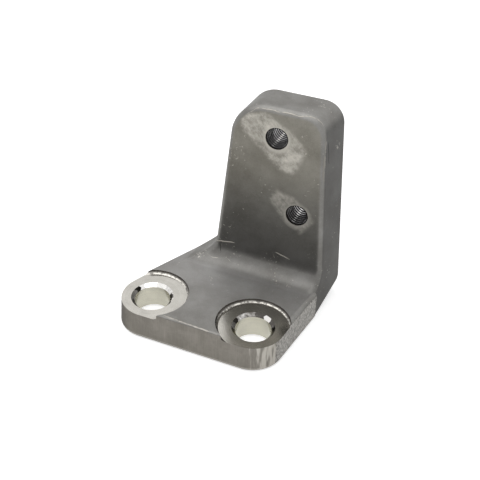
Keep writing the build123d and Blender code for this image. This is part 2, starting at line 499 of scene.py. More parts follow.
class Graph:
    """The nodes of one material or world."""

    def __init__(self, owner: bpy.types.ID) -> None:
        """Starts them empty."""
        owner.use_nodes = True
        self.tree = owner.node_tree
        self.tree.nodes.clear()
        self.shader = None

    def add(self, kind: str, inputs: dict, **settings: object) -> Node:
        """Adds one node.

        Args:
            kind: the node's type, without the words that all of them begin with.
            inputs: for each input, by name or number, a value, a socket or a node, which stands
                for its live output.
            settings: the node's own properties.

        Returns:
            The new node.
        """
        made = self.tree.nodes.new("ShaderNode" + kind)
        for name, value in settings.items():
            setattr(made, name, value)
        for name, value in inputs.items():
            if isinstance(value, Node):
                value = live(value)
            if isinstance(value, NodeSocket):
                self.tree.links.new(value, made.inputs[name])
            else:
                made.inputs[name].default_value = value
        return made

    def feed(self, name: str, source: Node) -> None:
        """Links a node to the shader's input of that name."""
        self.tree.links.new(live(source), self.shader.inputs[name])

    @cached_property
    def place(self) -> NodeSocket:
        """The point on the surface, in Object coordinates."""
        return self.add("TexCoord", {}).outputs["Object"]

    @cached_property
    def axes(self) -> bpy_prop_collection:
        """The same point as X, Y and Z."""
        return self.add("SeparateXYZ", {"Vector": self.place}).outputs

    @cached_property
    def facing(self) -> bpy_prop_collection:
        """The surface's normal as X, Y and Z."""
        return self.add("SeparateXYZ", {"Vector": self.add("TexCoord", {}).outputs["Normal"]}).outputs


@dataclass(frozen=True)
class Finish:
    """A steel surface, which keeps the shader's own index of refraction."""

    name: str
    colour: str
    roughness: float
    metallic: float = 1.0
    # Tone of what is seen at a glancing angle: oxide on a rough skin keeps it from turning white.
    glancing: str = "#ffffff"

    def material(self) -> Material:
        """The finished material."""
        made = bpy.data.materials.new(self.name)
        graph = Graph(made)
        graph.shader = graph.add("BsdfPrincipled", {
            "Base Color": linear(self.colour),
            "Metallic": self.metallic,
            "Roughness": self.roughness,
            "Specular Tint": linear(self.glancing),
        })
        graph.add("OutputMaterial", {"Surface": graph.shader})
        self.dress(graph)
        return made

    def dress(self, graph: Graph) -> None:
        """Adds the finish's own pattern; the plain steel has none.

        Args:
            graph: the material's nodes; not used by the plain steel.
        """


@dataclass(frozen=True)
class Scuff:
    """A patch of the upright's front rubbed bright by a fixture: corners (x, z) in mm, in turn."""

    corners: tuple
    strength: float
    soft: float = 1.2

    def mask(self, graph: Graph, place: Node) -> Node:
        """Its strength inside all its sides, fading to 0 outside them over twice its softness.

        Args:
            graph: the material's nodes.
            place: Object coordinates, a little warped.

        Returns:
            The mask.
        """
        ends = np.roll(np.array(self.corners), -1, axis=0)
        found = self.strength
        shift = RAGGED / 2 / MM
        for start, end in zip(np.array(self.corners) + shift, ends + shift):
            run = (end - start) / np.linalg.norm(end - start)
            inward = np.array([run[1], -run[0]])
            depth = graph.add("VectorMath", {
                0: place, 1: (inward[0] / MM, 0.0, inward[1] / MM),
            }, operation="DOT_PRODUCT")
            side = graph.add("MapRange", {
                "Value": depth, "From Min": float(inward @ start) - self.soft,
                "From Max": float(inward @ start) + self.soft,
            }, **SOFT)
            found = graph.add("Math", {0: side, 1: found}, operation="MULTIPLY")
        return found


@dataclass(frozen=True)
class ForgedSkin(Finish):
    """Shot-blasted forging skin: matt and grey, with a fine grain and slow cloudy mottling.

    The clouds and the grain break up the plain grey; the upright's front is darker towards its
    foot, a painted shade, and rubbed bright round the two threads, where a fixture held it. Painted
    shade also darkens the concave root and the sides, and painted light lightens the plate's top
    towards the upright.
    """

    light: str = "#91908d"
    dark: str = "#777571"
    rubbed: str = "#c8c4bb"
    # Painted light on the plate's top towards the upright.
    wear_and_painted_light: str = "#adabab"
    # Spots where knocks left more nicks: the centre and the reach in mm, and how dense they are.
    chipped: tuple = (
        ((-15.5, 32.4, 15.1), 5.0, 0.27),
        ((21.4, 31.2, 15.3), 5.0, 0.12),
        ((27.8, 30.0, 14.5), 4.5, 0.12),
        ((37.2, 49.9, 71.8), 6.0, 0.1),
    )
    oxide: str = "#fffcf2"
    # Colour of the painted shade.
    painted_shade: str = "#0b0b0b"
    # How much of the painted shade the upright's foot, the concave root and the sides take.
    foot_share: float = 0.58
    root_share: float = 0.2
    side_share: float = 0.55
    # How bright the rims of the upper and the lower thread are rubbed.
    rims: tuple = (0.7, 0.35)
    # The blasted grain is about 0.2 mm, and drawn at 0.5 mm so that it shows in the render.
    grain_size: float = 0.5 * MM
    mottle_size: float = 14 * MM
    grain_depth: float = 0.02 * MM
    scuffs: tuple = (
        Scuff(((0.8, 85.5), (11.0, 88.0), (22.0, 81.5), (28.5, 75.0), (23.5, 64.0), (17.5, 64.6),
               (0.4, 79.0)), 1.0),
        Scuff(((14.0, 50.0), (16.5, 55.5), (25.0, 53.0), (34.0, 44.5), (28.5, 37.0), (22.0, 40.5)),
              0.5),
    )

    def dress(self, graph: Graph) -> None:
        """Clouds of two greys, the marks on the upright's front, and a bump of blasted grain.

        Args:
            graph: the material's nodes.
        """
        place = graph.place
        cloud = graph.add("TexNoise", {
            "Vector": place, "Scale": 1 / self.mottle_size, "Detail": 5.0, "Roughness": 0.62,
        })
        grain = graph.add("TexNoise", {
            "Vector": place, "Scale": 1 / self.grain_size, "Detail": 3.0, "Roughness": 0.6,
        })
        both = graph.add("Math", {0: grain, 1: 0.3, 2: cloud}, operation="MULTIPLY_ADD")
        share = graph.add("MapRange", {"Value": both, "From Min": 0.48, "From Max": 0.84})
        tone = graph.add("Mix", {"Factor": share, 6: linear(self.dark), 7: linear(self.light)}, **COLOUR)
        # Painted shade on the upright's foot, the root and the sides; painted light on the plate's top.
        tone = self.rub_front(graph, self.paint_shade(graph, tone))
        tone = self.speckle(graph, tone)
        graph.feed("Base Color", tone)
        bump = graph.add("Bump", {"Height": both, "Distance": self.grain_depth, "Strength": 1.0})
        graph.feed("Normal", bump)

    def speckle(self, graph: Graph, tone: Node) -> Node:
        """Small pale nicks, where fine noise and broad noise are both high, and in knocked spots.

        Args:
            graph: the material's nodes.
            tone: the colour so far.

        Returns:
            The colour.
        """
        fine = graph.add("TexNoise", {"Vector": graph.place, "Scale": 1 / (1.1 * MM), "Detail": 2.0})
        broad = graph.add("TexNoise", {"Vector": graph.place, "Scale": 1 / (11 * MM), "Detail": 1.0})
        both = graph.add("Math", {0: broad, 1: 0.6, 2: fine}, operation="MULTIPLY_ADD")
        for centre, reach, density in self.chipped:
            away = graph.add("VectorMath", {
                0: graph.place, 1: tuple(c * MM for c in centre),
            }, operation="DISTANCE")
            near = graph.add("MapRange", {
                "Value": away, "From Min": reach * MM, "To Max": density, "From Max": 0.4 * reach * MM,
            })
            both = graph.add("Math", {0: both, 1: near})
        share = graph.add("MapRange", {"Value": both, "From Min": 1.04, "From Max": 1.12, "To Max": 0.5})
        return graph.add("Mix", {"Factor": share, 6: tone, 7: linear(self.rubbed)}, **COLOUR)

    def front_share(self, graph: Graph) -> Node:
        """1 where the surface faces forwards, fading to 0 where it turns away.

        Args:
            graph: the material's nodes.

        Returns:
            The mask.
        """
        return graph.add("MapRange", {
            "Value": graph.facing["Y"], "From Min": -0.84, "From Max": -0.99,
        }, **SOFT)

    def paint_shade(self, graph: Graph, tone: Node) -> Node:
        """Darkens the skin with painted shade.

        That is the upright's front towards its foot, the concave root, told by a normal between
        forwards and up, and the sides, told by a normal along x.

        Args:
            graph: the material's nodes.
            tone: the colour so far.

        Returns:
            The colour.
        """
        low = graph.add("MapRange", {
            "Value": graph.axes["Z"], "From Min": 78 * MM, "From Max": 34 * MM,
            "To Max": self.foot_share,
        }, **SOFT)
        foot = graph.add("Math", {0: low, 1: self.front_share(graph)}, operation="MULTIPLY")
        tilt = graph.add("Math", {0: graph.facing["Y"], 1: graph.facing["Z"]}, operation="MULTIPLY")
        hollow = graph.add("MapRange", {
            "Value": tilt, "From Min": -0.03, "From Max": -0.17, "To Max": self.root_share,
        }, **SOFT)
        near = graph.add("MapRange", {
            "Value": graph.axes["Z"], "From Min": 32 * MM, "From Max": 26 * MM,
        })
        behind = graph.add("MapRange", {
            "Value": graph.axes["Y"], "From Min": 10 * MM, "From Max": 16 * MM,
        })
        root = graph.add("Math", {0: hollow, 1: near}, operation="MULTIPLY")
        root = graph.add("Math", {0: root, 1: behind}, operation="MULTIPLY")
        sideways = graph.add("Math", {0: graph.facing["X"]}, operation="ABSOLUTE")
        side = graph.add("MapRange", {
            "Value": sideways, "From Min": 0.78, "From Max": 0.98, "To Max": self.side_share,
        }, **SOFT)
        share = graph.add("Math", {0: foot, 1: root}, operation="MAXIMUM")
        share = graph.add("Math", {0: share, 1: side}, operation="MAXIMUM")
        # Mixes in the painted shade.
        shaded = graph.add("Mix", {
            "Factor": share, 6: self.paint_plate_light(graph, tone), 7: linear(self.painted_shade),
        }, **COLOUR)
        high = graph.add("MapRange", {
            "Value": graph.axes["Z"], "From Min": 24 * MM, "From Max": 62 * MM,
        })
        warm = graph.add("Math", {0: high, 1: self.front_share(graph)}, operation="MULTIPLY")
        return graph.add("Mix", {
            "Factor": warm, 6: shaded, 7: linear(self.oxide),
        }, blend_type="MULTIPLY", **COLOUR)

    def paint_plate_light(self, graph: Graph, tone: Node) -> Node:
        """Lightens the plate's top towards the upright with painted light, over the upright's shade.

        Args:
            graph: the material's nodes.
            tone: the colour so far.

        Returns:
            The colour.
        """
        level = graph.add("MapRange", {
            "Value": graph.facing["Z"], "From Min": 0.965, "From Max": 0.99,
        }, **SOFT)
        low = graph.add("Math", {0: graph.axes["Z"], 1: 20 * MM}, operation="LESS_THAN")
        back = graph.add("MapRange", {
            "Value": graph.axes["Y"], "From Min": -8 * MM, "From Max": 18 * MM, "To Min": 0.02,
            "To Max": 0.22,
        })
        share = graph.add("Math", {0: level, 1: low}, operation="MULTIPLY")
        share = graph.add("Math", {0: share, 1: back}, operation="MULTIPLY")
        return graph.add("Mix", {"Factor": share, 6: tone, 7: linear(self.wear_and_painted_light)}, **COLOUR)

    def rub_front(self, graph: Graph, tone: Node) -> Node:
        """Lightens the rubbed patches, whose inside is streaked along x = -z, and the holes' rims.

        Args:
            graph: the material's nodes.
            tone: the colour so far.

        Returns:
            The colour.
        """
        place = graph.place
        ragged = graph.add("TexNoise", {
            "Vector": place, "Scale": 1 / (4 * MM), "Detail": 4.0, "Roughness": 0.7,
        })
        warp = graph.add("VectorMath", {
            0: ragged.outputs["Color"], 1: (RAGGED,) * 3, 2: place,
        }, operation="MULTIPLY_ADD")
        # Rubbing leaves lines about 0.1 mm apart, drawn 0.8 mm wide so that they show.
        turned = graph.add("Mapping", {
            "Vector": place, "Rotation": (0.0, math.radians(45), 0.0),
            "Scale": (7 * MM, 7 * MM, 1.1 * MM),
        }, vector_type="TEXTURE")
        streak = graph.add("TexNoise", {"Vector": turned, "Scale": 1.0, "Detail": 3.0, "Roughness": 0.65})
        streaked = graph.add("MapRange", {
            "Value": streak, "From Min": 0.38, "From Max": 0.64, "To Min": 0.15,
        })
        blotch = graph.add("MapRange", {
            "Value": ragged, "From Min": 0.38, "From Max": 0.64, "To Min": 0.05,
        })
        wear_and_painted_light = graph.add("Mix", {"Factor": 0.7, 2: streaked, 3: blotch}, data_type="FLOAT")
        total = 0.0
        for scuff in self.scuffs:
            patch = graph.add("Math", {0: scuff.mask(graph, warp), 1: wear_and_painted_light}, operation="MULTIPLY")
            total = graph.add("Math", {0: patch, 1: total}, operation="MAXIMUM")
        for name, strength in zip(THREADS, self.rims):
            away = graph.add("VectorMath", {
                0: warp, 1: [c + RAGGED / 2 for c in mount(name)["pos_m"]],
            }, operation="SUBTRACT")
            level = graph.add("VectorMath", {0: away, 1: (1.0, 0.0, 1.0)}, operation="MULTIPLY")
            far = graph.add("VectorMath", {0: level}, operation="LENGTH")
            rim = graph.add("MapRange", {
                "Value": far, "From Min": SIZES.thread_radius + 2.0 * MM,
                "From Max": SIZES.thread_radius + 0.2 * MM, "To Max": strength,
            })
            total = graph.add("Math", {0: rim, 1: total}, operation="MAXIMUM")
        share = graph.add("Math", {0: total, 1: self.front_share(graph)}, operation="MULTIPLY")
        return graph.add("Mix", {"Factor": share, 6: tone, 7: linear(self.rubbed)}, **COLOUR)


@dataclass(frozen=True)
class GroundWall(Finish):
    """Ground steel wall: half bright, with upright brush lines and a paler line at the foot.

    The right corner is ground paler, in streaks, and the left one is darkened with painted shade.
    """

    pale: str = "#b9b5ad"
    # Grinding lines are about 0.1 mm apart, drawn 0.5 mm apart so that they show in the render.
    line_gap: float = 0.5 * MM
    line_length: float = 9 * MM
    smear_width: float = 2.2 * MM
    smear_length: float = 14 * MM
    corner_start: float = 26.2 * MM
    # Colour of the painted shade on the left corner.
    corner_shade: str = "#1c1b1a"

    def dress(self, graph: Graph) -> None:
        """Brush lines in tone and bump, cloudy blotches, and a pale line at the foot.

        The right corner has broad pale smears, and the left one is darkened with painted shade.

        Args:
            graph: the material's nodes.
        """
        place = graph.place
        drawn = graph.add("Mapping", {
            "Vector": place, "Scale": (1 / self.line_gap, 1 / self.line_gap, 1 / self.line_length),
        })
        lines = graph.add("TexNoise", {"Vector": drawn, "Scale": 1.0, "Detail": 3.0, "Roughness": 0.7})
        broad = graph.add("Mapping", {
            "Vector": place, "Scale": (1 / self.smear_width, 1 / self.smear_width, 1 / self.smear_length),
        })
        smears = graph.add("TexNoise", {"Vector": broad, "Scale": 1.0, "Detail": 2.0, "Roughness": 0.6})
        corner = graph.add("MapRange", {
            "Value": graph.axes["X"], "From Min": self.corner_start,
            "From Max": self.corner_start + 0.3 * MM,
        })
        above = graph.add("MapRange", {
            "Value": graph.axes["Z"], "From Min": 0.4 * MM, "From Max": 0.8 * MM,
        })
        below = graph.add("MapRange", {
            "Value": graph.axes["Z"], "From Min": 1.8 * MM, "From Max": 1.2 * MM, "To Max": 0.7,
        })
        foot = graph.add("Math", {0: above, 1: below}, operation="MULTIPLY")
        smeared = graph.add("MapRange", {"Value": smears, "From Min": 0.42, "From Max": 0.56})
        patchy = graph.add("Math", {0: smeared, 1: corner}, operation="MULTIPLY")
        light = graph.add("MapRange", {"Value": lines, "From Min": 0.35, "From Max": 0.75, "To Max": 0.13})
        blotch = graph.add("TexNoise", {
            "Vector": place, "Scale": 1 / (7 * MM), "Detail": 4.0, "Roughness": 0.7, "Distortion": 0.6,
        })
        cloudy = graph.add("MapRange", {"Value": blotch, "From Min": 0.4, "From Max": 0.7, "To Max": 0.16})
        light = graph.add("Math", {0: light, 1: cloudy})
        share = graph.add("Math", {0: light, 1: foot}, operation="MAXIMUM")
        share = graph.add("Math", {0: patchy, 1: 0.75, 2: share}, operation="MULTIPLY_ADD", use_clamp=True)
        tone = graph.add("Mix", {"Factor": share, 6: linear(self.colour), 7: linear(self.pale)}, **COLOUR)
        # Painted shade: darker towards the left corner.
        left = graph.add("MapRange", {
            "Value": graph.axes["X"], "From Min": -27 * MM, "From Max": -35 * MM, "To Max": 0.45,
        }, **SOFT)
        tone = graph.add("Mix", {"Factor": left, 6: tone, 7: linear(self.corner_shade)}, **COLOUR)
        graph.feed("Base Color", tone)
        bump = graph.add("Bump", {"Height": lines, "Distance": 0.005 * MM, "Strength": 1.0})
        graph.feed("Normal", bump)


@dataclass(frozen=True)
class ShearedWall(Finish):
    """Sheared and torn steel: a coarse sparkling grain of light and dark specks."""

    pale: str = "#a3a099"
    dark: str = "#4b4844"
    grain_size: float = 0.75 * MM

    def dress(self, graph: Graph) -> None:
        """Specks between a dark and a pale grey, and a bump of the same grain.

        Args:
            graph: the material's nodes.
        """
        drawn = graph.add("Mapping", {"Vector": graph.place, "Scale": (1.0, 1.0, 0.6)})
        grain = graph.add("TexNoise", {
            "Vector": drawn, "Scale": 1 / self.grain_size, "Detail": 3.0, "Roughness": 0.7,
        })
        share = graph.add("MapRange", {"Value": grain, "From Min": 0.36, "From Max": 0.66})
        tone = graph.add("Mix", {"Factor": share, 6: linear(self.dark), 7: linear(self.pale)}, **COLOUR)
        graph.feed("Base Color", tone)
        bump = graph.add("Bump", {"Height": grain, "Distance": 0.12 * MM, "Strength": 1.0})
        graph.feed("Normal", bump)


@dataclass(frozen=True)
class TurnedSteel(Finish):
    """Steel cut by a turning tool round the nearer bolt hole: bright, with fine rings."""

    # The tool leaves rings about 0.1 mm apart, drawn 0.5 mm apart so that they show.
    ring_gap: float = 0.5 * MM
    ring_depth: float = 0.004 * MM
    dull: str = "#8f8c86"
    dull_share: float = 0.3

    def dress(self, graph: Graph) -> None:
        """Rings from noise of the radius and height about the nearer hole, in tone and bump.

        Args:
            graph: the material's nodes.
        """
        folded = graph.add("VectorMath", {0: graph.place}, operation="ABSOLUTE")
        centred = graph.add("VectorMath", {0: folded, 1: (BOLT_X, 0.0, 0.0)}, operation="SUBTRACT")
        level = graph.add("VectorMath", {0: centred, 1: (1.0, 1.0, 0.0)}, operation="MULTIPLY")
        radius = graph.add("VectorMath", {0: level}, operation="LENGTH")
        along = graph.add("CombineXYZ", {"X": radius, "Y": graph.axes["Z"]})
        rings = graph.add("TexNoise", {
            "Vector": along, "Scale": 1 / self.ring_gap, "Detail": 2.0, "Roughness": 0.6,
        })
        haze = graph.add("TexNoise", {
            "Vector": graph.place, "Scale": 1 / (5 * MM), "Detail": 3.0, "Roughness": 0.6,
        })
        both = graph.add("Math", {0: rings, 1: haze}, operation="ADD")
        share = graph.add("MapRange", {
            "Value": both, "From Min": 0.8, "From Max": 1.25, "To Max": self.dull_share,
        })
        tone = graph.add("Mix", {"Factor": share, 6: linear(self.colour), 7: linear(self.dull)}, **COLOUR)
        graph.feed("Base Color", tone)
        bump = graph.add("Bump", {"Height": rings, "Distance": self.ring_depth, "Strength": 1.0})
        graph.feed("Normal", bump)


@dataclass(frozen=True)
class CutThread(Finish):
    """Tapped thread: roots black with cutting oil and painted shade, and a painted glint on the crests along
    one line.
    """

    # Colour of the roots: cutting oil and painted shade.
    oil_and_shade: str = "#141312"
    # Colour of the painted glint on the crests.
    wear_and_painted_light: str = "#f2f2f0"
    # Direction from the axis, square to it, towards the line of the painted glint.
    glint_side: tuple = (-0.36, -0.052, -0.93)

    def dress(self, graph: Graph) -> None:
        """Darkens the metal by its distance from the nearer hole's axis, as oil and painted shade.

        That distance is the length of the cross product of the axis and the arm to the point. A painted
        glint lightens the crests along one line.

        Args:
            graph: the material's nodes.
        """
        nearest = 1.0
        lowest = -1.0
        for name in THREADS:
            hole = mount(name)
            arm = graph.add("VectorMath", {0: graph.place, 1: hole["pos_m"]}, operation="SUBTRACT")
            turned = graph.add("VectorMath", {0: arm, 1: hole["axis"]}, operation="CROSS_PRODUCT")
            away = graph.add("VectorMath", {0: turned}, operation="LENGTH")
            nearest = graph.add("Math", {0: away, 1: nearest}, operation="MINIMUM")
            inside = graph.add("Math", {0: away, 1: 2 * SIZES.thread_radius}, operation="LESS_THAN")
            depth = graph.add("VectorMath", {0: arm, 1: self.glint_side}, operation="DOT_PRODUCT")
            depth = graph.add("Math", {0: depth, 1: inside}, operation="MULTIPLY")
            lowest = graph.add("Math", {0: depth, 1: lowest}, operation="MAXIMUM")
        # Painted shade and oil darken the roots.
        oil_and_shade_share = graph.add("MapRange", {
            "Value": nearest, "From Min": SIZES.tapping_radius - 0.01 * MM,
            "From Max": SIZES.tapping_radius + 0.06 * MM,
        })
        # Painted glint along one line of the crests.
        bright = graph.add("MapRange", {
            "Value": lowest, "From Min": 0.982 * SIZES.tapping_radius,
            "From Max": 0.994 * SIZES.tapping_radius,
        }, **SOFT)
        crest = graph.add("Mix", {"Factor": bright, 6: linear(self.colour), 7: linear(self.wear_and_painted_light)}, **COLOUR)
        tone = graph.add("Mix", {"Factor": oil_and_shade_share, 6: crest, 7: linear(self.oil_and_shade)}, **COLOUR)
        graph.feed("Base Color", tone)


@dataclass(frozen=True)
class CutChamfer(Finish):
    """Countersunk edge, cut with chatter: a ring of small flats, some bright and some dull."""

    dull: str = "#55524e"

    def dress(self, graph: Graph) -> None:
        """Each flat between dull and bright, by the polish that its faces carry.

        Args:
            graph: the material's nodes.
        """
        polish = graph.add("Attribute", {}, attribute_name=POLISH)
        fine = graph.add("TexNoise", {"Vector": graph.place, "Scale": 1 / (1.2 * MM), "Detail": 2.0})
        both = graph.add("Math", {0: fine, 1: 0.5, 2: polish.outputs["Fac"]}, operation="MULTIPLY_ADD")
        share = graph.add("MapRange", {"Value": both, "From Min": 0.4, "From Max": 0.95}, **SOFT)
        tone = graph.add("Mix", {"Factor": share, 6: linear(self.dull), 7: linear(self.colour)}, **COLOUR)
        graph.feed("Base Color", tone)


@dataclass(frozen=True)
class SeatWall(TurnedSteel):
    """Turned wall of a washer seat: bright at its rounded foot, dull and darkened with painted shade above
    it.
    """

    # Colour of the painted shade on the wall.
    wall_shade: str = "#3a3735"

    def dress(self, graph: Graph) -> None:
        """Rings as on the seat, with painted shade from a ragged line above the foot up to the plate's top,
        and in patches.

        Args:
            graph: the material's nodes.
        """
        super().dress(graph)
        ragged = graph.add("TexNoise", {"Vector": graph.place, "Scale": 1 / (2.5 * MM), "Detail": 3.0})
        height = graph.add("Math", {
            0: ragged, 1: 0.8 * MM, 2: graph.axes["Z"],
        }, operation="MULTIPLY_ADD")
        dark = graph.add("MapRange", {
            "Value": height, "From Min": SIZES.seat_height + 0.75 * MM,
            "From Max": SIZES.seat_height + 1.25 * MM, "To Max": 0.88,
        })
        torn = graph.add("TexNoise", {"Vector": graph.place, "Scale": 1 / (1.3 * MM), "Detail": 3.0})
        rough = graph.add("MapRange", {"Value": torn, "From Min": 0.45, "From Max": 0.62, "To Max": 0.7})
        dark = graph.add("Math", {0: dark, 1: rough}, operation="MAXIMUM")
        plain = graph.shader.inputs["Base Color"].links[0].from_socket
        tone = graph.add("Mix", {"Factor": dark, 6: plain, 7: linear(self.wall_shade)}, **COLOUR)
        graph.feed("Base Color", tone)


@dataclass(frozen=True)
class MilledBase(Finish):
    """Milled underside: even grey steel with the cutter's lines across it."""

    dull: str = "#85827c"

    def dress(self, graph: Graph) -> None:
        """Lines of two greys, from noise drawn out along x.

        Args:
            graph: the material's nodes.
        """
        drawn = graph.add("Mapping", {"Vector": graph.place, "Scale": (1 / (30 * MM), 1 / (0.7 * MM), 1.0)})
        lines = graph.add("TexNoise", {"Vector": drawn, "Scale": 1.0, "Detail": 3.0, "Roughness": 0.6})
        tone = graph.add("Mix", {"Factor": lines, 6: linear(self.colour), 7: linear(self.dull)}, **COLOUR)
        graph.feed("Base Color", tone)
        bump = graph.add("Bump", {"Height": lines, "Distance": 0.01 * MM, "Strength": 1.0})
        graph.feed("Normal", bump)


@dataclass(frozen=True)
class Burr:
    """A thin raised line, pale or dark: a flattened tube, half sunk into the body."""

    name: str
    finish: Finish
    points: tuple
    width: float
    height: float
    broken: float = 0.0
    wave: float = 0.3 * MM
    wave_size: float = 3 * MM
    break_size: float = 1.6 * MM
    stations: int = 160
    sides: int = 10

    def build(self, body: Object, dressing: Material) -> Object:
        """Makes the burr along a line of given points (x, y, z) in mm.

        The line is walked in equal steps, waved sideways by noise and laid on the nearest point of
        the body. At each station the section is an ellipse, width across the line and height along
        the body's normal. Both shrink to nothing at the two ends, by (1 - t^4) with t from -1 to 1,
        and where noise falls under the broken share, so that the line comes and goes.

        Args:
            body: the piece that it lies on.
            dressing: its material.

        Returns:
            The piece, riding on the body.
        """
        place = np.array(self.points) * MM
        walked = np.concatenate([[0], np.cumsum(np.linalg.norm(np.diff(place, axis=0), axis=1))])
        steps = np.linspace(0, walked[-1], self.stations)
        line = np.stack([np.interp(steps, walked, place[:, n]) for n in range(3)], -1)
        waves = [layered_noise(line + 3 * n * self.wave_size, self.wave_size, 2, SEED + n) for n in range(3)]
        line += self.wave * np.stack(waves, -1)
        found = [body.closest_point_on_mesh(p) for p in line.tolist()]
        line = np.array([f[1][:] for f in found])
        out = np.array([f[2][:] for f in found])
        along = np.gradient(line, axis=0)
        along /= np.linalg.norm(along, axis=1, keepdims=True)
        across = np.cross(along, out)
        across /= np.linalg.norm(across, axis=1, keepdims=True)
        t = np.linspace(-1, 1, self.stations)
        lively = 0.5 + 0.5 * layered_noise(line, self.break_size, 2, SEED + 5)
        size = (1 - t**4) * (0.35 + 0.65 * smooth((lively - self.broken) / 0.25))
        size *= np.where(lively < self.broken, 0.25, 1.0)
        angle = np.arange(self.sides) / self.sides * 2 * np.pi
        wide = across[:, None] * (np.cos(angle) * self.width / 2)[None, :, None]
        tall = out[:, None] * (np.sin(angle) * self.height)[None, :, None]
        skin = line[:, None] + (wide + tall) * size[:, None, None]
        vertices = np.vstack([skin[1:-1].reshape(-1, 3), line[:1], line[-1:]])
        piece = new_object(self.name, mesh_from(self.name, vertices, self.faces()))
        piece.data.materials.append(dressing)
        piece.data.polygons.foreach_set("use_smooth", np.ones(len(piece.data.polygons), bool))
        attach(piece, BODY)
        log.info("%s: %d faces", self.name, len(piece.data.polygons))
        return piece

    def faces(self) -> list:
        """Vertex numbers of the tube's skin and of the fans that close its two ends."""
        rings = self.stations - 2
        number = np.arange(rings * self.sides).reshape(rings, self.sides)
        after = np.roll(number, -1, axis=1)
        skin = np.stack([number[:-1], after[:-1], after[1:], number[1:]], -1).reshape(-1, 4)
        poles = np.full(self.sides, rings * self.sides)
        low = np.stack([number[0], after[0], poles], -1)
        high = np.stack([number[-1], after[-1], poles + 1], -1)
        return [skin, low, high]


# Pale lines: burrs and rubbed metal, partly painted highlight along edges and steps.
PALE_BURR_AND_HIGHLIGHT = Finish("rubbed_burr_and_highlight", "#a29e96", 0.4, 0.6)
# Pale smear on the upright's right rounding, partly painted highlight.
SMEAR_AND_HIGHLIGHT = Finish("smeared_edge_and_highlight", "#86837d", 0.45, 0.6)
# Painted shade: dark lines in a crease and a groove.
CREASE_SHADE = Finish("painted_crease_shade", "#2a2826", 0.6, 0.3)
BURRS = (
    Burr("top_flash_line", PALE_BURR_AND_HIGHLIGHT, (
        (1.3, 38.4, 85.0), (3.3, 38.6, 86.7), (5.6, 39.0, 88.3), (8.0, 39.2, 89.2),
        (13.5, 39.1, 89.2), (19.6, 39.4, 89.6), (23.8, 39.2, 89.4), (28.9, 39.8, 89.4),
        (32.4, 40.6, 87.8), (33.6, 40.6, 85.0),
    ), 0.6 * MM, 0.14 * MM, 0.35, 0.5 * MM),
    Burr("root_bead", PALE_BURR_AND_HIGHLIGHT, (
        (-9.8, 36.0, 21.3), (-7.1, 34.7, 22.8), (-4.2, 34.7, 23.2), (-0.4, 34.7, 24.0),
    ), 0.7 * MM, 0.16 * MM),
    Burr("root_nick", PALE_BURR_AND_HIGHLIGHT, (
        (18.2, 34.8, 24.7), (21.9, 34.7, 23.8), (25.2, 34.7, 22.8),
    ), 0.5 * MM, 0.1 * MM),
    Burr("front_edge_burr", PALE_BURR_AND_HIGHLIGHT, (
        (-12.5, -11.2, 15.2), (-7.8, -11.8, 15.2), (-4.0, -12.2, 15.3), (0.6, -12.3, 15.2),
        (5.2, -12.5, 15.1), (9.6, -12.6, 15.0), (13.0, -12.6, 14.9),
    ), 0.8 * MM, 0.15 * MM, 0.4),
    Burr("root_crease", CREASE_SHADE, (
        (-7.8, 34.9, 21.6), (-7.3, 34.6, 20.4), (-6.9, 33.8, 18.6), (-6.7, 33.2, 17.3),
    ), 0.3 * MM, 0.03 * MM, 0.3, 0.1 * MM),
    Burr("root_rub", PALE_BURR_AND_HIGHLIGHT, (
        (-17.2, 34.4, 14.2), (-13.0, 32.6, 14.9), (-9.9, 31.3, 15.4), (-7.1, 31.5, 15.6),
        (-3.5, 32.2, 16.2), (-0.8, 31.4, 15.5),
    ), 0.5 * MM, 0.04 * MM, 0.62, 1.0 * MM),
    Burr("side_rub_and_highlight", SMEAR_AND_HIGHLIGHT, (
        (34.6, 39.8, 83.3), (35.2, 38.8, 72.8), (35.8, 37.9, 61.9),
    ), 1.1 * MM, 0.04 * MM, 0.4, 0.6 * MM),
    Burr("side_groove_shade", CREASE_SHADE, (
        (35.2, 41.4, 80.0), (35.9, 41.8, 74.0), (36.3, 41.9, 69.0),
    ), 0.5 * MM, 0.05 * MM, 0.1, 0.15 * MM),
)


